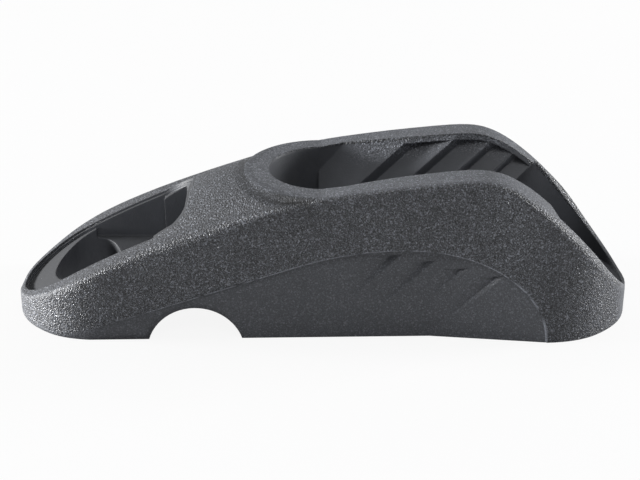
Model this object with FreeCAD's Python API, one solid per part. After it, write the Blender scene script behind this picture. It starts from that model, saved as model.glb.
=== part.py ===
import FreeCAD, Part
import math
import os

# Jam cleat, one moulding. Millimetres, Z up, resting on Z = 0.
# Origin: middle of the overall length, on the centre plane, at the base.
# The load end (nose) points to -X, the open end of the groove (tail) to +X.

V = FreeCAD.Vector

# Overall form
LENGTH = 73.2
NOSE_RADIUS = 10.4
TAIL_RADIUS = 11.05
DRAFT = 5.1
TAIL_DRAFT = 3.2
TIP_ANGLE = 84.0
TIP_STEPS = 5
MIDDLE_STEPS = 13
NOSE_X = NOSE_RADIUS - LENGTH / 2
TAIL_X = LENGTH / 2 - TAIL_RADIUS

# Side profile of the back, as arcs that follow one another
TIP_HEIGHT = 2.7
TIP_SETBACK = 1.2
COLLAR_X = -0.3
COLLAR_HEIGHT = 17.15
BACK_BULGE = 1.75
PEAK_X = 16.6
PEAK_HEIGHT = 19.2
RIM_BULGE = 0.2
PEAK_RADIUS = 11.6
PEAK_TURN = 42.5
TAIL_HEIGHT = 4.0
TAIL_SETBACK = 1.2
TAIL_BULGE = 0.65

# Rounding of the upper edges
EDGE_RADIUS = 0.55
EDGE_BANDS = 4
SHOULDER_RADIUS = 0.8
SHOULDER_X = -14.5
SHOULDER_SPREAD = 8.0
TAIL_EDGE_RADIUS = 0.9
HEIGHT_SHARE = 0.6
BASE_TRIM = 1.0

# Collar round the front of the groove and the bridge before it
COLLAR_RADIUS = 8.95
COLLAR_EDGE = 0.45
BRIDGE_FRONT = -20.3
BRIDGE_LIFT = 2.3
BRIDGE_RUN = 3.2
BRIDGE_STEPS = 5
CREST_DEPTH = 0.3

# Groove pocket
POCKET_FRONT_X = 0.1
POCKET_FRONT_RADIUS = 6.4
POCKET_TAIL_RADIUS = 8.8
POCKET_TAIL_X = 28.1
POCKET_DRAFT = 3.0
POCKET_FLOOR_FRONT = 5.6
POCKET_FLOOR_TAIL = 2.6
BEVEL_DEPTH = 0.85
BEVEL_REACH = 4.0

# Jaws and their slanted teeth
TOOTH_COUNT = 5
TOOTH_MIDDLE = 2
TOOTH_X = 20.1
TOOTH_LEVEL = 18.0
TOOTH_PITCH = 4.9
TOOTH_TAPER = 0.94
TOOTH_SLANT = 41.0
TOOTH_DEPTH = 1.15
TOOTH_ROOT = 0.38
CROWN_DEPTH = 0.75
MOUTH_HALF = 5.65
MOUTH_FLARE = 0.006
MOUTH_STEPS = 20
MOUTH_DAMPING = 0.4
THROAT_HALF = 1.5
THROAT_LEVEL = 4.5
RAMP_LENGTH = 7.0
RAMP_OVERLAP = 0.25
TOOTH_END = 3.2
JAW_BACK = 13.0
JAW_TOP = 20.5
JAW_START_X = -0.5

# Nose slot, its hole and the passage under the bridge
SLOT_HALF = 6.45
SLOT_FRONT = 1.1
SLOT_END_X = -15.85
SLOT_END_RADIUS = 3.4
SLOT_FRONT_RADIUS = 6.0
SHELF_DEPTH = 0.7
LIP_WIDTH = 0.35
LIP_DEPTH = 0.3
HOLE_X = -28.2
HOLE_LENGTH = 7.8
HOLE_WIDTH = 12.0
HOLE_END_RADIUS = 3.0
SADDLE_LEVEL = 4.7
TROUGH_SAG = 0.5
JAMB_X = -19.4
TUNNEL_HALF = 5.1
TUNNEL_TOP = 11.6

# Transverse notch in the base
NOTCH_X = -14.6
NOTCH_RADIUS = 5.6
NOTCH_DROP = 1.7

# Recessed flank panels
PANEL_WAIST_X = 12.3
PANEL_WAIST_HALF = 9.46
PANEL_NOSE_X = -26.3
PANEL_NOSE_HALF = 10.35
PANEL_TAIL_X = 26.2
PANEL_TAIL_HALF = 11.05
PANEL_DRAFT = 2.6
ARCH_TOP_X = 9.7
ARCH_TOP = 11.1
ARCH_TAIL_X = 25.6
ARCH_FRONT_RADIUS = 40.0
ARCH_FRONT_ANGLE = 18.3

# Slanted ribs of the panels
RIB_COUNT = 4
RIB_DEPTH = 0.5
RIB_OUTSET = 0.1
RIB_FIRST_X = 5.3
RIB_FIRST_TOP = 10.0
RIB_PITCH = 3.9
RIB_STEP = 0.75
RIB_RISE = 0.4
RIB_SLANT = 46.0
RIB_LENGTH = 9.0
RIB_ROOT = 0.62
RIB_SHARE = 0.97

SIDE = 30.0
ABOVE = 24.0


def circle_height(x, start, end, bulge):
    """Height at x on the arc from start to end that bulges upward."""
    dx = end[0] - start[0]
    dz = end[1] - start[1]
    chord = math.hypot(dx, dz)
    radius = chord * chord / (8 * bulge) + bulge / 2
    back = radius - bulge
    centre_x = (start[0] + end[0]) / 2 + dz / chord * back
    centre_z = (start[1] + end[1]) / 2 - dx / chord * back
    return centre_z + math.sqrt(radius * radius - (x - centre_x) ** 2)


def tail_slope():
    """Ends (x, z) of the long fall behind the peak."""
    turn = math.radians(PEAK_TURN)
    fall = PEAK_RADIUS * (1 - math.cos(turn))
    bend = (PEAK_X + PEAK_RADIUS * math.sin(turn), PEAK_HEIGHT - fall)
    return bend, (LENGTH / 2 - TAIL_SETBACK, TAIL_HEIGHT)


def back_height(x):
    """Height of the moulding's back at x, before the collar and the cuts."""
    nose = (-LENGTH / 2 + TIP_SETBACK, TIP_HEIGHT)
    collar = (COLLAR_X, COLLAR_HEIGHT)
    peak = (PEAK_X, PEAK_HEIGHT)
    bend, tail = tail_slope()
    if x < nose[0]:
        return nose[1] - (nose[0] - x) ** 2 / TIP_SETBACK
    if x < collar[0]:
        return circle_height(x, nose, collar, BACK_BULGE)
    if x < peak[0]:
        return circle_height(x, collar, peak, RIM_BULGE)
    if x < bend[0]:
        return peak[1] - PEAK_RADIUS + math.sqrt(PEAK_RADIUS ** 2 - (x - PEAK_X) ** 2)
    if x < tail[0]:
        return circle_height(x, bend, tail, TAIL_BULGE)
    return tail[1] - (x - tail[0]) ** 2 / TAIL_SETBACK


def base_half(x):
    """Half width of the hull at the base."""
    if x < NOSE_X:
        return math.sqrt(NOSE_RADIUS ** 2 - (NOSE_X - x) ** 2)
    if x > TAIL_X:
        return math.sqrt(TAIL_RADIUS ** 2 - (x - TAIL_X) ** 2)
    share = (x - NOSE_X) / (TAIL_X - NOSE_X)
    return NOSE_RADIUS + (TAIL_RADIUS - NOSE_RADIUS) * share


def tail_share(x):
    """0 in front of the peak, rising smoothly to 1 on the fall behind it."""
    share = min(max((x - PEAK_X) / SHOULDER_SPREAD, 0.0), 1.0)
    return share * share * (3 - 2 * share)


def lean(x):
    """Angle of the flank from upright."""
    return math.radians(DRAFT + (TAIL_DRAFT - DRAFT) * tail_share(x))


def edge_radius(x):
    """Rounding of the upper edge: crisp at nose and rims, softer at shoulder and tail."""
    hump = math.exp(-((x - SHOULDER_X) / SHOULDER_SPREAD) ** 2)
    radius = EDGE_RADIUS + SHOULDER_RADIUS * hump + TAIL_EDGE_RADIUS * tail_share(x)
    return 1 / (1 / radius + 1 / (HEIGHT_SHARE * back_height(x)))


def top_half(x):
    """Half width of the flat top of the hull, between the rounded edges."""
    tilt = lean(x)
    return base_half(x) - back_height(x) * math.tan(tilt) - edge_radius(x) * math.tan((math.pi / 2 - tilt) / 2)


def hull_section(x):
    """Closed outline of the hull in the plane at x, its upper edges rounded in bands."""
    top = back_height(x)
    foot = base_half(x)
    tilt = lean(x)
    radius = edge_radius(x)
    middle = top_half(x)
    right = [V(x, foot + BASE_TRIM * math.tan(tilt), -BASE_TRIM)]
    for i in range(EDGE_BANDS + 1):
        turn = tilt + (math.pi / 2 - tilt) * i / EDGE_BANDS
        right.append(V(x, middle + radius * math.cos(turn), top - radius + radius * math.sin(turn)))
    left = [V(p.x, -p.y, p.z) for p in reversed(right)]
    return Part.makePolygon(right + left + right[:1])


def hull_stations():
    """Places of the hull sections, closer together at the rounded ends."""
    turns = [TIP_ANGLE * i / TIP_STEPS for i in range(TIP_STEPS, 0, -1)]
    nose = [NOSE_X - NOSE_RADIUS * math.sin(math.radians(a)) for a in turns]
    tail = [TAIL_X + TAIL_RADIUS * math.sin(math.radians(a)) for a in reversed(turns)]
    span = TAIL_X - NOSE_X
    middle = [NOSE_X + span * i / MIDDLE_STEPS for i in range(MIDDLE_STEPS + 1)]
    return nose + middle + tail


def hull():
    """Outer body as a skin through its sections, trimmed flat at the base."""
    skin = Part.makeLoft([hull_section(x) for x in hull_stations()], True, False)
    return skin.cut(Part.makeBox(2 * LENGTH, SIDE, ABOVE, V(-LENGTH, -SIDE / 2, -ABOVE)))


def side_prism(edges, half):
    """Solid of a closed outline in the XZ plane, reaching half to each side of the centre."""
    face = Part.Face(Part.Wire(edges))
    solid = face.extrude(V(0, 2 * half, 0))
    solid.translate(V(0, -half, 0))
    return solid


def polygon_edges(corners):
    """Edges of the closed polygon through corners given as (x, z)."""
    points = [V(x, 0, z) for x, z in corners]
    return [Part.makeLine(p, q) for p, q in zip(points, points[1:] + points[:1])]


def collar():
    """Raised ring round the front end of the groove."""
    height = COLLAR_HEIGHT - POCKET_FLOOR_FRONT
    wide = COLLAR_RADIUS + height * math.tan(math.radians(DRAFT))
    foot = V(COLLAR_X, 0, POCKET_FLOOR_FRONT)
    ring = Part.makeCone(wide, COLLAR_RADIUS, height, foot)
    rim = [e for e in ring.Edges if e.BoundBox.ZMin > COLLAR_HEIGHT - LIP_DEPTH]
    return ring.makeFillet(COLLAR_EDGE, rim)


def bridge_section(x):
    """Crowned outline of the bridge in the plane at x."""
    level = back_height(x) - CREST_DEPTH
    crown = back_height(x) + BRIDGE_LIFT * (1 - math.exp((BRIDGE_FRONT - x) / BRIDGE_RUN))
    half = top_half(x)
    left = V(x, -half, level)
    right = V(x, half, level)
    foot_right = V(x, half, POCKET_FLOOR_FRONT)
    foot_left = V(x, -half, POCKET_FLOOR_FRONT)
    edges = [
        Part.Arc(left, V(x, 0, crown), right).toShape(),
        Part.makeLine(right, foot_right),
        Part.makeLine(foot_right, foot_left),
        Part.makeLine(foot_left, left),
    ]
    return Part.Wire(edges)


def bridge():
    """Crowned back between the nose slot and the collar, cut level with the collar."""
    run = COLLAR_X - BRIDGE_FRONT
    stations = [BRIDGE_FRONT + run * i / BRIDGE_STEPS for i in range(BRIDGE_STEPS + 1)]
    skin = Part.makeLoft([bridge_section(x) for x in stations], True, False)
    level = Part.makeBox(LENGTH, SIDE, COLLAR_HEIGHT, V(-LENGTH / 2, -SIDE / 2, 0))
    return skin.common(level)


def floor_slab():
    """Space above the gently falling floor of the groove."""
    front = -LENGTH / 2
    end = LENGTH / 2
    fall = (POCKET_FLOOR_TAIL - POCKET_FLOOR_FRONT) / (end - COLLAR_X)
    start_level = POCKET_FLOOR_FRONT + fall * (front - COLLAR_X)
    end_level = POCKET_FLOOR_TAIL + fall
    corners = [(front, start_level), (end + 1, end_level), (end + 1, ABOVE), (front, ABOVE)]
    return side_prism(polygon_edges(corners), SIDE / 2)


def pocket_half(level, radius):
    """Radius of one end of the groove pocket at a level; radius is the one at the collar."""
    return radius - (COLLAR_HEIGHT - level) * math.tan(math.radians(POCKET_DRAFT))


def pocket():
    """Plain space of the groove, round at both ends, with sloping sides."""
    levels = (POCKET_FLOOR_TAIL, ABOVE)
    ends = [(POCKET_FRONT_X, POCKET_FRONT_RADIUS), (POCKET_TAIL_X, POCKET_TAIL_RADIUS)]
    cones = []
    for x, radius in ends:
        low, high = [pocket_half(level, radius) for level in levels]
        cones.append(Part.makeCone(low, high, levels[1] - levels[0], V(x, 0, levels[0])))
    tilt = math.asin((POCKET_FRONT_RADIUS - POCKET_TAIL_RADIUS) / (POCKET_TAIL_X - POCKET_FRONT_X))
    rings = []
    for level in levels:
        right = []
        for x, radius in ends:
            half = pocket_half(level, radius)
            right.append(V(x + half * math.sin(tilt), half * math.cos(tilt), level))
        left = [V(q.x, -q.y, level) for q in reversed(right)]
        rings.append(Part.makePolygon(right + left + right[:1]))
    middle = Part.makeLoft(rings, True, True)
    return middle.fuse(cones).common(floor_slab())


def bevel_outline(u, reach, grow):
    """Plan outline of the tail bevel: a half oval closed by straight sides."""
    long = reach + grow
    wide = pocket_half(TAIL_HEIGHT, POCKET_TAIL_RADIUS) + grow
    oval = Part.Ellipse(V(u + long, 0, 0), V(u, wide, 0), V(u, 0, 0))
    edges = [
        Part.Edge(oval, -math.pi / 2, math.pi / 2),
        Part.makeLine(V(u, wide, 0), V(-LENGTH / 2, wide, 0)),
        Part.makeLine(V(-LENGTH / 2, wide, 0), V(-LENGTH / 2, -wide, 0)),
        Part.makeLine(V(-LENGTH / 2, -wide, 0), V(u, -wide, 0)),
    ]
    return Part.Wire(edges)


def tail_bevel():
    """Bevel of the groove's inner edge along the fall behind the peak."""
    bend, tail = tail_slope()
    angle = math.atan2(bend[1] - tail[1], tail[0] - bend[0])
    middle = V((bend[0] + tail[0]) / 2, 0, (bend[1] + tail[1]) / 2)
    normal = V(math.sin(angle), 0, math.cos(angle))
    place = middle + normal * (TAIL_BULGE - BEVEL_DEPTH)
    u = (POCKET_TAIL_X - place.x) / math.cos(angle)
    reach = pocket_half(TAIL_HEIGHT, POCKET_TAIL_RADIUS) / math.cos(angle)
    low = bevel_outline(u, reach, 0)
    high = bevel_outline(u, reach, BEVEL_REACH)
    high.translate(V(0, 0, BEVEL_REACH))
    solid = Part.makeLoft([low, high], True, True)
    solid.rotate(V(0, 0, 0), V(0, 1, 0), math.degrees(angle))
    solid.translate(place)
    return solid


def tooth_lines():
    """Where each tooth crest crosses the level of the rims."""
    places = {TOOTH_MIDDLE: TOOTH_X}
    pitch = TOOTH_PITCH
    for i in range(TOOTH_MIDDLE + 1, TOOTH_COUNT):
        places[i] = places[i - 1] + pitch * TOOTH_TAPER ** (i - TOOTH_MIDDLE)
    for i in range(TOOTH_MIDDLE - 1, -1, -1):
        places[i] = places[i + 1] - pitch / TOOTH_TAPER ** (TOOTH_MIDDLE - i - 1)
    return [places[i] for i in range(TOOTH_COUNT)]


def crest_point(line, level):
    """Point on a tooth crest at a level; the crest leans out from throat to mouth."""
    slant = 1 / math.tan(math.radians(TOOTH_SLANT))
    mouth_x = line
    for _ in range(MOUTH_STEPS):
        gap = line + (back_height(mouth_x) - TOOTH_LEVEL) * slant - mouth_x
        mouth_x += gap * MOUTH_DAMPING
    mouth_z = back_height(mouth_x)
    mouth_y = MOUTH_HALF + MOUTH_FLARE * (mouth_x - PEAK_X) ** 2
    share = (level - THROAT_LEVEL) / (mouth_z - THROAT_LEVEL)
    x = line + (level - TOOTH_LEVEL) * slant
    return V(x, THROAT_HALF + (mouth_y - THROAT_HALF) * share, level)


def jaw_outline(level, depth):
    """Plan outline of one jaw at a level: steep face, root and ramp for every tooth."""
    crests = [crest_point(line, level) for line in tooth_lines()]
    start = crests[0].x - RAMP_LENGTH
    wall = pocket_half(level, POCKET_FRONT_RADIUS + RAMP_OVERLAP)
    points = [V(start, JAW_BACK, level), V(start, wall, level)]
    for here, after in zip(crests, crests[1:]):
        root = here + (after - here) * TOOTH_ROOT
        points += [here, V(root.x, root.y + depth, level)]
    last = crests[-1]
    points += [last, V(last.x + TOOTH_END, JAW_BACK, level)]
    return Part.makePolygon(points + [points[0]])


def jaw_block(depth):
    """Sloping wall of the groove on the +Y side, with flutes of the given depth."""
    levels = [0, JAW_TOP]
    solid = Part.makeLoft([jaw_outline(z, depth) for z in levels], True, True)
    return solid.common(Part.makeBox(LENGTH, SIDE, ABOVE, V(JAW_START_X, 0, 0)))


def jaw(skin):
    """Toothed wall of the groove, its flutes closed along the mouth; skin is the uncut body."""
    crown = jaw_block(0).common(skin).cut(skin.translated(V(0, 0, -CROWN_DEPTH)))
    return jaw_block(TOOTH_DEPTH).common(skin).fuse(crown)


def mirrored(shape):
    """The shape on the other side of the centre plane."""
    return shape.mirror(V(0, 0, 0), V(0, 1, 0))


def rounded_outline(x_front, x_end, half, front_radius, end_radius):
    """Closed plan outline of a slot with its own corner radius at each end."""
    turn = 1 - math.sqrt(0.5)
    right = [
        V(x_front, half - front_radius, 0),
        V(x_front + front_radius * turn, half - front_radius * turn, 0),
        V(x_front + front_radius, half, 0),
        V(x_end - end_radius, half, 0),
        V(x_end - end_radius * turn, half - end_radius * turn, 0),
        V(x_end, half - end_radius, 0),
    ]
    left = [V(q.x, -q.y, 0) for q in right]
    edges = [
        Part.Arc(right[0], right[1], right[2]).toShape(),
        Part.makeLine(right[2], right[3]),
        Part.Arc(right[3], right[4], right[5]).toShape(),
        Part.makeLine(right[5], left[5]),
        Part.Arc(left[5], left[4], left[3]).toShape(),
        Part.makeLine(left[3], left[2]),
        Part.Arc(left[2], left[1], left[0]).toShape(),
        Part.makeLine(left[0], right[0]),
    ]
    return Part.Wire(edges)


def upright(outline, low, high):
    """Upright solid of a plan outline between two levels."""
    solid = Part.Face(outline).extrude(V(0, 0, high - low))
    solid.translate(V(0, 0, low))
    return solid


def slot_mouth(grow):
    """Upright solid of the nose slot's mouth, grown all round."""
    front = -LENGTH / 2 + SLOT_FRONT - grow
    end = SLOT_END_X + grow
    corners = (SLOT_FRONT_RADIUS + grow, SLOT_END_RADIUS + grow)
    return upright(rounded_outline(front, end, SLOT_HALF + grow, *corners), 0, ABOVE)


def trough():
    """Space above the dished floor that runs from the saddle under the bridge."""
    radius = SLOT_HALF ** 2 / (2 * TROUGH_SAG) + TROUGH_SAG / 2
    axis = V(HOLE_X, 0, SADDLE_LEVEL + radius)
    return Part.makeCylinder(radius, COLLAR_X - HOLE_X, axis, V(1, 0, 0))


def oval_outline(half_x, half_y, end_radius):
    """Closed plan outline of an oval of four tangent arcs, longer in Y."""
    rise = half_y - end_radius
    side_radius = (half_x ** 2 + rise ** 2 - end_radius ** 2) / (2 * (half_x - end_radius))
    centre = half_x - side_radius
    angle = math.atan2(rise, -centre)
    x = centre + side_radius * math.cos(angle)
    y = side_radius * math.sin(angle)
    corners = [V(x, y, 0), V(-x, y, 0), V(-x, -y, 0), V(x, -y, 0)]
    middles = [V(0, half_y, 0), V(-half_x, 0, 0), V(0, -half_y, 0), V(half_x, 0, 0)]
    ends = corners[1:] + corners[:1]
    return Part.Wire([Part.Arc(*arc).toShape() for arc in zip(corners, middles, ends)])


def hole():
    """Oval hole down through the nose."""
    wire = oval_outline(HOLE_LENGTH / 2, HOLE_WIDTH / 2, HOLE_END_RADIUS)
    wire.translate(V(HOLE_X, 0, 0))
    return upright(wire, -BASE_TRIM, ABOVE)


def tunnel():
    """Arched passage from the slot to the groove."""
    spring = TUNNEL_TOP - TUNNEL_HALF
    corners = [V(JAMB_X, TUNNEL_HALF, spring), V(JAMB_X, 0, TUNNEL_TOP), V(JAMB_X, -TUNNEL_HALF, spring)]
    low = [V(JAMB_X, -TUNNEL_HALF, 0), V(JAMB_X, TUNNEL_HALF, 0)]
    edges = [
        Part.Arc(*corners).toShape(),
        Part.makeLine(corners[2], low[0]),
        Part.makeLine(low[0], low[1]),
        Part.makeLine(low[1], corners[0]),
    ]
    return Part.Face(Part.Wire(edges)).extrude(V(COLLAR_X - JAMB_X, 0, 0)).common(trough())


def slot_spaces(skin):
    """Everything removed for the nose slot; skin is the body before the cuts."""
    front_part = Part.makeBox(JAMB_X + LENGTH / 2, SIDE, ABOVE, V(-LENGTH / 2, -SIDE / 2, 0))
    mouth = slot_mouth(0)
    wide = mouth.common(front_part)
    narrow = mouth.common(Part.makeBox(LENGTH, 2 * TUNNEL_HALF, ABOVE, V(JAMB_X - LENGTH / 2, -TUNNEL_HALF, 0)))
    floor = trough()
    mouth_to_base = mouth.translated(V(0, 0, -BASE_TRIM))
    shelf = mouth.cut(skin.translated(V(0, 0, -SHELF_DEPTH)))
    lip = slot_mouth(LIP_WIDTH).cut(skin.translated(V(0, 0, -LIP_DEPTH)))
    return [wide.common(floor), narrow.common(floor), hole().common(mouth_to_base), tunnel(), shelf, lip]


def notch():
    """Arch across the base."""
    foot = V(NOTCH_X, -SIDE / 2, -NOTCH_DROP)
    return Part.makeCylinder(NOTCH_RADIUS, SIDE, foot, V(0, 1, 0))


def arch_prism():
    """Upright arch that bounds the flank panels."""
    angle = math.radians(ARCH_FRONT_ANGLE)
    half_angle = angle / 2
    radius = ARCH_FRONT_RADIUS
    top = V(ARCH_TOP_X, 0, ARCH_TOP)

    def on_front(turn):
        return V(ARCH_TOP_X - radius * math.sin(turn), 0, ARCH_TOP - radius * (1 - math.cos(turn)))

    bend = on_front(angle)
    low = -BASE_TRIM
    foot = V(bend.x - (bend.z - low) / math.tan(angle), 0, low)
    tail = V(ARCH_TAIL_X, 0, 0)
    oval = Part.Ellipse(V(ARCH_TAIL_X, 0, 0), V(ARCH_TOP_X, 0, ARCH_TOP), V(ARCH_TOP_X, 0, 0))
    quarter = Part.Edge(oval, 0, math.pi / 2)
    edges = [
        Part.Arc(top, on_front(half_angle), bend).toShape(),
        Part.makeLine(bend, foot),
        Part.makeLine(foot, V(ARCH_TAIL_X, 0, low)),
        Part.makeLine(V(ARCH_TAIL_X, 0, low), tail),
        quarter,
    ]
    return side_prism(edges, SIDE / 2)


def panel_half(x, z):
    """Half width of the panel's face at a place on the flank."""
    if x < PANEL_WAIST_X:
        share = (PANEL_WAIST_X - x) / (PANEL_WAIST_X - PANEL_NOSE_X)
        edge = PANEL_NOSE_HALF
    else:
        share = (x - PANEL_WAIST_X) / (PANEL_TAIL_X - PANEL_WAIST_X)
        edge = PANEL_TAIL_HALF
    return PANEL_WAIST_HALF + (edge - PANEL_WAIST_HALF) * share - z * math.tan(math.radians(PANEL_DRAFT))


def panel_outline(level):
    """Plan outline of the space outside the panel at a level."""
    places = [-LENGTH / 2, PANEL_WAIST_X, LENGTH / 2]
    inner = [V(x, panel_half(x, level), level) for x in places]
    outer = [V(inner[2].x, SIDE, level), V(inner[0].x, SIDE, level)]
    return Part.makePolygon(inner + outer + inner[:1])


def panel():
    """Space removed for the flank panel on the +Y side."""
    outside = Part.makeLoft([panel_outline(-BASE_TRIM), panel_outline(ABOVE)], True, True)
    return outside.common(arch_prism())


def rib_corner(index, down, depth):
    """Point on the panel for the ribs: index along the row, down the slant, depth into the wall."""
    slant = math.radians(RIB_SLANT)
    x = RIB_FIRST_X + RIB_PITCH * index - down * math.cos(slant)
    z = RIB_FIRST_TOP - RIB_STEP * math.floor(index) - down * math.sin(slant)
    return V(x, panel_half(x, z) - depth, z)


def rib(index):
    """One slanted saw-tooth hollow of the panel, fading downward."""
    rows = []
    for down, depth in ((0, RIB_DEPTH), (RIB_LENGTH, -RIB_OUTSET)):
        first = rib_corner(index, down, -RIB_OUTSET)
        root = rib_corner(index + RIB_ROOT, down, depth)
        last = rib_corner(index + RIB_SHARE, down, -RIB_OUTSET)
        last.z += RIB_RISE
        rows.append(Part.makePolygon([first, root, last, first]))
    return Part.makeLoft(rows, True, True)


def cleat():
    """The whole moulding."""
    skin = hull().fuse([collar(), bridge()])
    toothed = jaw(skin)
    body = skin.cut(pocket()).cut(tail_bevel()).fuse([toothed, mirrored(toothed)])
    hollow = panel()
    ribs = [rib(i) for i in range(RIB_COUNT)]
    spaces = slot_spaces(skin) + [notch(), hollow, mirrored(hollow)]
    spaces += ribs + [mirrored(r) for r in ribs]
    for space in spaces:
        body = body.cut(space)
    return max(body.Solids, key=lambda solid: solid.Volume)


body = cleat()
print("cleat_body", body.isValid(), round(body.Volume, 1), len(body.Faces))
os.makedirs("parts", exist_ok=True)
body.exportStep("parts/cleat_body.step")
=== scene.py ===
import math

import bpy
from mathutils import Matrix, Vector


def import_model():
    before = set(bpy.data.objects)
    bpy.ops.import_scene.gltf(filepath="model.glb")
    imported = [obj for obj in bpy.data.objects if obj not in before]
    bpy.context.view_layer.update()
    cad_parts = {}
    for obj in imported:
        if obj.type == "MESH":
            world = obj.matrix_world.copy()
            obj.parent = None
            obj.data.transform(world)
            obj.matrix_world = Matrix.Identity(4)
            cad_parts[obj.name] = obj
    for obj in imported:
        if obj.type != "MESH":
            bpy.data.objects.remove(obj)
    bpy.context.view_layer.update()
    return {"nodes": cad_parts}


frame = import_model()

MM = 0.001
BODY = "cleat_body"

# Camera
ELEVATION = math.radians(26.0)
DISTANCE = 144.0 * MM
TARGET = Vector((-0.3 * MM, 0.0, 7.7 * MM))
LENS = 67.6

# Stage
FLOOR_TONE = 0.6
FLOOR_WHITE = 0.9
ROOM_LIGHT = 0.22

# Places on the moulding that the finish follows; a rise, fall, flare or slope has no unit
COLLAR_X = -0.3 * MM
COLLAR_RADIUS = 8.95 * MM
RIM_HEIGHT = 17.15 * MM
RIM_RISE = 0.1213
PEAK_X = 16.6 * MM
PEAK_RADIUS = 11.6 * MM
BEND = 7.84 * MM
FALL = 1.118
MOUTH_HALF = 6.6 * MM
MOUTH_FLARE = 0.086
MOUTH_TAIL_X = 28.1 * MM
MOUTH_TAIL_RADIUS = 9.0 * MM
RIM_DEPTH = 0.15 * MM
SLOT_MIDDLE_X = -25.7 * MM
SLOT_LENGTH = 10.2 * MM
SLOT_HALF = 6.85 * MM
PASSAGE_X = -19.6 * MM
PASSAGE_HALF = 5.4 * MM
PASSAGE_TOP = 11.8 * MM
ARCH_TOP_X = 9.7 * MM
ARCH_TOP = 11.1 * MM
ARCH_TAIL = 15.9 * MM
ARCH_RADIUS = 40.0 * MM
ARCH_BEND = 12.56 * MM
ARCH_SLOPE = 0.3307
PANEL_HALF = 7.5 * MM
THROAT_X = 1.5 * MM
JAW_GRAIN_FRONT_X = 4.0 * MM
JAW_GRAIN_TAIL_X = 22.0 * MM
JAW_GRAIN_DEPTH = 2.0 * MM
SEAM_HEIGHT = 12.6 * MM
COLLAR_FOOT_RADIUS = 9.1 * MM
COLLAR_FOOT_HEIGHT = 13.4 * MM
MOUTH_LIP_RADIUS = 6.5 * MM
SHOULDER_X = -21.0 * MM
SHOULDER_HALF = 7.2 * MM

# How far each edge looks rounded
EDGE_ROUND = 0.22 * MM
SHOULDER_ROUND = 1.3 * MM
SEAM_ROUND = 1.6 * MM
LIP_ROUND = 0.45 * MM

# Grain and colour
GRAIN_SCALE = 6800.0
PIT_SCALE = 4600.0
SPARK_SCALE = 6800.0
CLOUD_SCALE = 150.0
MOTTLE_SCALE = 700.0
GRAIN_DEPTH = 0.2 * MM
GRAIN_SHARE = 0.6
PIT_SHARE = 0.4
LEAST_GRAIN = 0.08
CHARCOAL = (0.0415, 0.0440, 0.0500)

# How much coarse grain the jaws keep, and how far the other zones lose it
JAWS_GRAIN = 0.6
PANEL_PLAIN = 0.72
TOP_PLAIN = 0.55
SEAM_PLAIN = 0.6

# Shares of the charcoal: a tone is added, a shade is taken away; the inside, jaws, throat, end
# wall, top, seam, foot and level shares are painted light and shade, the edge and glint ones
# painted highlights
BASE_TONE = 0.88
CLOUD_TONE = 0.16
MOTTLE_TONE = 0.25
BRIGHT_TONE = 1.7
DARK_SHADE = 0.7
# painted highlight: bright specks that stand in for glints
GLINT_TONE = 2.6
# painted highlight along the flank panel's edge line
PAINTED_EDGE_HIGHLIGHT = 2.6
# painted light and shade in the groove and slot hollows: lifted inside, less on the floors, darker
# in the throat and on walls facing the nose, lighter on the jaws
INSIDE_PAINTED_LIGHT = 0.85
INSIDE_LEVEL_PAINTED_SHADE = 0.7
THROAT_PAINTED_SHADE = 0.7
JAWS_PAINTED_LIGHT = 0.2
END_WALL_PAINTED_SHADE = 1.1
PANEL_TONE = 0.38
# painted light: the up-facing tops are lightened
TOP_PAINTED_LIGHT = 0.6
# painted shade over the collar seam's lit crescent
SEAM_PAINTED_SHADE = 0.3
# painted shadow at the collar's foot
FOOT_PAINTED_SHADOW = 0.5
# painted shade on up-facing faces other than the tops
LEVEL_PAINTED_SHADE = 0.28

# Roughness: a gloss is taken away, the others are added
BASE_ROUGHNESS = 0.45
GLINT_GLOSS = 0.2
PLAIN_ROUGHNESS = 0.06
BRIGHT_GLOSS = 0.1
SEAM_ROUGHNESS = 0.5
LEVEL_ROUGHNESS = 0.35
TOP_ROUGHNESS = 0.25


class Value:
    """A node socket that takes part in ordinary arithmetic."""

    def __init__(self, tree, socket):
        self.tree = tree
        self.socket = socket

    def _math(self, operation, *terms):
        node = self.tree.nodes.new("ShaderNodeMath")
        node.operation = operation
        for place, term in zip(node.inputs, terms):
            if isinstance(term, Value):
                self.tree.links.new(term.socket, place)
            else:
                place.default_value = term
        return Value(self.tree, node.outputs[0])

    def __add__(self, other):
        return self._math("ADD", self, other)

    def __radd__(self, other):
        return self._math("ADD", other, self)

    def __sub__(self, other):
        return self._math("SUBTRACT", self, other)

    def __rsub__(self, other):
        return self._math("SUBTRACT", other, self)

    def __mul__(self, other):
        return self._math("MULTIPLY", self, other)

    def __rmul__(self, other):
        return self._math("MULTIPLY", other, self)

    def __truediv__(self, other):
        return self._math("DIVIDE", self, other)

    def __pow__(self, other):
        return self._math("POWER", self, other)

    def __abs__(self):
        return self._math("ABSOLUTE", self)

    def least(self, other):
        return self._math("MINIMUM", self, other)

    def most(self, other):
        return self._math("MAXIMUM", self, other)

    def above(self, level, width):
        """0 below level, 1 above it, over a soft step of the given width."""
        node = self.tree.nodes.new("ShaderNodeMapRange")
        node.interpolation_type = "SMOOTHSTEP"
        self.tree.links.new(self.socket, node.inputs["Value"])
        node.inputs["From Min"].default_value = level - width / 2
        node.inputs["From Max"].default_value = level + width / 2
        return Value(self.tree, node.outputs[0])

    def below(self, level, width):
        return 1.0 - self.above(level, width)


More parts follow.
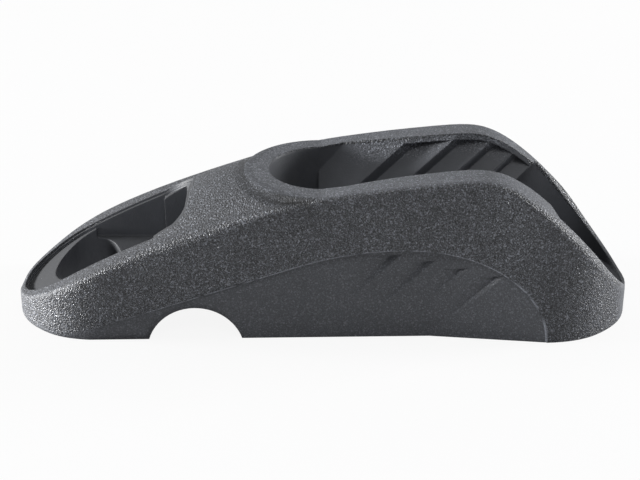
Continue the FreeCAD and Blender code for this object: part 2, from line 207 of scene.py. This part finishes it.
class Shader:
    """The nodes of a material or a world; add() makes any node that it needs."""

    def __init__(self, owner):
        owner.use_nodes = True
        self.owner = owner
        self.tree = owner.node_tree

    def add(self, kind, settings=None, inputs=None, output=0):
        node = self.tree.nodes.new(kind)
        for name, value in (settings or {}).items():
            setattr(node, name, value)
        for name, value in (inputs or {}).items():
            self.feed(node.inputs[name], value)
        return Value(self.tree, node.outputs[output])

    def feed(self, place, value):
        if isinstance(value, Value):
            self.tree.links.new(value.socket, place)
        else:
            place.default_value = value

    def set(self, node, **inputs):
        """Sets a ready-made node's inputs and gives its output."""
        ready = self.tree.nodes[node]
        for name, value in inputs.items():
            self.feed(ready.inputs[name.replace("_", " ")], value)
        return Value(self.tree, ready.outputs[0])

    def white_to_camera(self, surface, white, share, end):
        """Mixes white over a surface for camera rays alone, by the given share."""
        seen = self.add("ShaderNodeLightPath", output="Is Camera Ray")
        mix = self.add("ShaderNodeMixShader", inputs={"Fac": seen * share, 1: surface, 2: white})
        self.feed(self.tree.nodes[end].inputs["Surface"], mix)


def groove_zone(x, z, off, reach):
    """Masks of the groove's inside below its rims, and of its grained upper jaws."""
    along = (x - COLLAR_X).most(0.0)
    fall = (x - PEAK_X).most(0.0)
    bend = fall.least(BEND)
    drop = PEAK_RADIUS - (PEAK_RADIUS ** 2 - bend ** 2) ** 0.5 + (fall - BEND).most(0.0) * FALL
    rim = RIM_HEIGHT + along.least(PEAK_X - COLLAR_X) * RIM_RISE - drop
    low = (rim - z).above(RIM_DEPTH, 0.15 * MM)
    front = (reach - along).below(MOUTH_HALF, 0.3 * MM)
    side = (off - along * MOUTH_FLARE).below(MOUTH_HALF, 0.3 * MM)
    tail = (x - MOUTH_TAIL_X).most(0.0)
    end = ((tail ** 2 + off ** 2) ** 0.5).below(MOUTH_TAIL_RADIUS, 0.3 * MM)
    groove = low * front.most(along.above(0.1 * MM, 0.1 * MM)) * side * end
    jaws = groove * (rim - z).below(JAW_GRAIN_DEPTH, 2.4 * MM)
    jaws = jaws * x.above(JAW_GRAIN_FRONT_X, 4.0 * MM) * x.below(JAW_GRAIN_TAIL_X, 4.0 * MM)
    return groove, jaws


def slot_zone(x, z, off):
    """Mask of the nose slot's inside and of the passage behind it."""
    along = abs((x - SLOT_MIDDLE_X) / SLOT_LENGTH)
    across = off / SLOT_HALF
    nose = (along ** 2.4 + across ** 2.4).below(1.0, 0.06)
    nose = nose * x.below(SLOT_MIDDLE_X + 0.3 * MM, 0.1 * MM)
    rear = (along ** 7.0 + across ** 7.0).below(1.0, 0.1)
    rear = rear * x.above(SLOT_MIDDLE_X - 0.3 * MM, 0.1 * MM)
    passage = x.above(PASSAGE_X, 0.2 * MM) * off.below(PASSAGE_HALF, 0.2 * MM)
    passage = passage * z.below(PASSAGE_TOP, 0.2 * MM)
    return nose.most(rear).most(passage)


def panel_rise(x, z):
    """1 along the arch over the flank panel, less below it."""
    ahead = (ARCH_TOP_X - x).most(0.0)
    curve = ahead.least(ARCH_BEND)
    arch = ARCH_TOP - curve ** 2 / (2.0 * ARCH_RADIUS)
    arch = arch - (ahead - ARCH_BEND).most(0.0) * ARCH_SLOPE
    behind = (x - ARCH_TOP_X).most(0.0) / ARCH_TAIL
    return (behind ** 2 + (z / arch) ** 2) ** 0.5


def moulding_zones(x, y, z, up):
    """Masks of the moulding's regions.

    In order: inside of groove and slot, grained upper jaws, throat, flank panel,
    the panel's edge line, plain tops, collar seam, collar foot, mouth lip.
    """
    off = abs(y)
    front = (COLLAR_X - x).most(0.0)
    reach = (front ** 2 + off ** 2) ** 0.5
    groove, jaws = groove_zone(x, z, off, reach)
    inside = groove.most(slot_zone(x, z, off))
    throat = groove * x.below(THROAT_X, 7.0 * MM)
    rise = panel_rise(x, z)
    flank = (1.0 - inside) * off.above(PANEL_HALF, 0.4 * MM)
    panel = rise.below(1.0, 0.01) * flank
    # the panel's edge line is lightened in the colour as a painted highlight
    edge = abs(rise - 1.0).below(0.009, 0.008) * flank
    ring = reach.below(COLLAR_RADIUS - 0.1 * MM, 0.3 * MM)
    top = up.above(0.72, 0.3) * (1.0 - inside) * ring.most(x.above(0.0, 0.6 * MM))
    ahead = front.above(0.2 * MM, 0.4 * MM)
    # the seam mask also carries painted shade in the colour, besides roughness and a wider
    # rounding
    seam = abs(reach - COLLAR_RADIUS).below(0.9 * MM, 0.8 * MM)
    seam = seam * front.above(3.0 * MM, 4.0 * MM) * z.above(SEAM_HEIGHT, 1.0 * MM)
    lip = abs(reach - MOUTH_LIP_RADIUS).below(0.8 * MM, 0.4 * MM) * ahead
    # the foot mask places a painted shadow under the collar
    foot = abs(reach - COLLAR_FOOT_RADIUS).below(0.35 * MM, 0.4 * MM)
    foot = foot * front.above(0.8 * MM, 0.8 * MM) * front.below(5.0 * MM, 4.0 * MM)
    foot = foot * z.above(COLLAR_FOOT_HEIGHT, 0.6 * MM)
    return inside, jaws, throat, panel, edge, top, seam, foot, lip


def moulded_nylon():
    """Charcoal nylon: coarse spark-eroded grain outside, finer on the tops, smooth inside, with
    light and shade painted into its colour.
    """
    shader = Shader(bpy.data.materials.new("moulded_nylon"))
    place = shader.add("ShaderNodeTexCoord", output="Object")
    x, y, z = (
        shader.add("ShaderNodeSeparateXYZ", inputs={"Vector": place}, output=axis)
        for axis in ("X", "Y", "Z")
    )
    facing = shader.add("ShaderNodeNewGeometry", output="Normal")
    up = shader.add("ShaderNodeSeparateXYZ", inputs={"Vector": facing}, output="Z")
    tailward = shader.add("ShaderNodeSeparateXYZ", inputs={"Vector": facing}, output="X")
    inside, jaws, throat, panel, edge, top, seam, foot, lip = moulding_zones(x, y, z, up)
    plain = (inside - jaws * JAWS_GRAIN).most(panel * PANEL_PLAIN).most(top * TOP_PLAIN)
    coarse = 1.0 - plain
    grain = shader.add(
        "ShaderNodeTexNoise",
        inputs={"Vector": place, "Scale": GRAIN_SCALE, "Detail": 1.0, "Roughness": 0.6},
    )
    pits = shader.add(
        "ShaderNodeTexVoronoi",
        {"feature": "SMOOTH_F1"},
        {"Vector": place, "Scale": PIT_SCALE, "Smoothness": 0.4},
    )
    cloud, mottle = (
        shader.add("ShaderNodeTexNoise", inputs={"Vector": place, "Scale": scale, "Detail": 3.0})
        for scale in (CLOUD_SCALE, MOTTLE_SCALE)
    )
    spark = shader.add(
        "ShaderNodeTexVoronoi",
        {"feature": "F1"},
        {"Vector": place, "Scale": SPARK_SCALE},
        output="Color",
    )
    chance = shader.add("ShaderNodeSeparateXYZ", inputs={"Vector": spark}, output="X")
    # painted glints: sparse specks lightened in the colour
    glint = chance.above(0.9, 0.08) * coarse
    shoulder = abs(x - SHOULDER_X).below(9.5 * MM, 6.0 * MM)
    shoulder = shoulder * abs(y).above(SHOULDER_HALF, 0.6 * MM)
    radius = (shoulder * SHOULDER_ROUND).most(seam * SEAM_ROUND).most(lip * LIP_ROUND)
    radius = EDGE_ROUND + radius
    soft = shader.add("ShaderNodeBevel", {"samples": 4}, {"Radius": radius})
    height = grain * GRAIN_SHARE - pits * PIT_SHARE
    height = height * (coarse * (1.0 - LEAST_GRAIN) + LEAST_GRAIN) * (1.0 - seam * SEAM_PLAIN)
    bump = shader.add(
        "ShaderNodeBump",
        inputs={"Strength": 1.0, "Distance": GRAIN_DEPTH, "Height": height, "Normal": soft},
    )
    bright = grain.above(0.6, 0.16) * coarse
    dark = grain.below(0.42, 0.16) * coarse
    tone = BASE_TONE + cloud * CLOUD_TONE + (mottle - 0.5) * MOTTLE_TONE
    tone = tone + bright * BRIGHT_TONE - dark * DARK_SHADE + glint * GLINT_TONE
    # painted highlight along the panel's edge line
    tone = tone + edge * mottle.above(0.45, 0.2) * PAINTED_EDGE_HIGHLIGHT
    # level marks up-facing faces other than the tops; the colour darkens them with painted shade
    level = up.above(0.8, 0.3) * (1.0 - top)
    # painted light in the hollows of groove and slot, less on their floors; painted shade in the
    # throat and on inner walls facing the nose; painted light on the jaws
    painted_hollow_light_and_shade = inside * (INSIDE_PAINTED_LIGHT - level * INSIDE_LEVEL_PAINTED_SHADE)
    painted_hollow_light_and_shade = painted_hollow_light_and_shade - throat * THROAT_PAINTED_SHADE + jaws * JAWS_PAINTED_LIGHT
    painted_hollow_light_and_shade = painted_hollow_light_and_shade - inside * tailward.below(-0.5, 0.5) * END_WALL_PAINTED_SHADE
    # painted light on the up-facing tops
    share = 1.0 + painted_hollow_light_and_shade + panel * PANEL_TONE + top * TOP_PAINTED_LIGHT
    share = share - seam * SEAM_PAINTED_SHADE - foot * FOOT_PAINTED_SHADOW - level * LEVEL_PAINTED_SHADE
    tone = tone * share
    color = shader.add(
        "ShaderNodeCombineXYZ",
        inputs={axis: tone * part for axis, part in zip("XYZ", CHARCOAL)},
    )
    rough = BASE_ROUGHNESS - glint * GLINT_GLOSS + plain * PLAIN_ROUGHNESS - bright * BRIGHT_GLOSS
    rough = rough + seam * SEAM_ROUGHNESS + level * LEVEL_ROUGHNESS + top * TOP_ROUGHNESS
    shader.set(
        "Principled BSDF",
        Base_Color=color,
        Roughness=rough,
        Normal=bump,
        Specular_IOR_Level=0.5,
    )
    return shader.owner


def floor():
    """Plain pale surface that carries the object's shadow."""
    bpy.ops.object.select_all(action="DESELECT")
    bpy.ops.mesh.primitive_plane_add(size=4.0)
    plane = bpy.context.object
    plane.name = "floor"
    shader = Shader(bpy.data.materials.new("floor"))
    pale = (FLOOR_TONE, FLOOR_TONE, FLOOR_TONE * 1.01, 1.0)
    surface = shader.set("Principled BSDF", Base_Color=pale, Roughness=0.9, Specular_IOR_Level=0.0)
    white = shader.add("ShaderNodeEmission", inputs={"Strength": 1.0})
    shader.white_to_camera(surface, white, FLOOR_WHITE, "Material Output")
    plane.data.materials.append(shader.owner)


def soft_light(name, place, width, depth, power, target=(0.0, 0.0, 0.008)):
    """Rectangular studio light that faces the object."""
    light = bpy.data.lights.new(name, "AREA")
    light.shape = "RECTANGLE"
    light.size = width
    light.size_y = depth
    light.energy = power
    lamp = bpy.data.objects.new(name, light)
    bpy.context.collection.objects.link(lamp)
    lamp.location = place
    lamp.rotation_euler = (Vector(target) - Vector(place)).to_track_quat("-Z", "Y").to_euler()


def world():
    """White seen directly, a dimmer even light on the object."""
    sky = bpy.data.worlds.new("studio")
    bpy.context.scene.world = sky
    shader = Shader(sky)
    even = (1.0, 1.0, 1.0, 1.0)
    room = shader.set("Background", Color=even, Strength=ROOM_LIGHT)
    white = shader.add("ShaderNodeBackground", inputs={"Color": even, "Strength": 1.0})
    shader.white_to_camera(room, white, 1.0, "World Output")


def camera():
    """The photo's view, from the -Y side, looking down over the rims."""
    lens = bpy.data.cameras.new("camera")
    lens.lens = LENS
    lens.clip_end = 10.0
    lens.clip_start = 0.01
    eye = bpy.data.objects.new("camera", lens)
    bpy.context.collection.objects.link(eye)
    away = Vector((0.0, -math.cos(ELEVATION), math.sin(ELEVATION)))
    eye.location = TARGET + away * DISTANCE
    eye.rotation_euler = (math.pi / 2 - ELEVATION, 0.0, 0.0)
    bpy.context.scene.camera = eye


body = frame["nodes"][BODY]
nylon = moulded_nylon()
for place in body.material_slots:
    place.material = nylon

floor()
world()
camera()
soft_light("left", (-0.5, 0.02, 0.055), 0.12, 0.1, 8.2)
soft_light("right", (0.5, 0.1, 0.12), 0.14, 0.16, 3.8)
soft_light("back", (0.05, 0.42, 0.33), 0.4, 0.16, 0.45)
soft_light("top", (0.0, 0.1, 0.6), 0.4, 0.3, 0.7)
soft_light("front", (0.05, -0.32, 0.5), 0.3, 0.2, 0.95)

scene = bpy.context.scene
scene.view_settings.view_transform = "Standard"
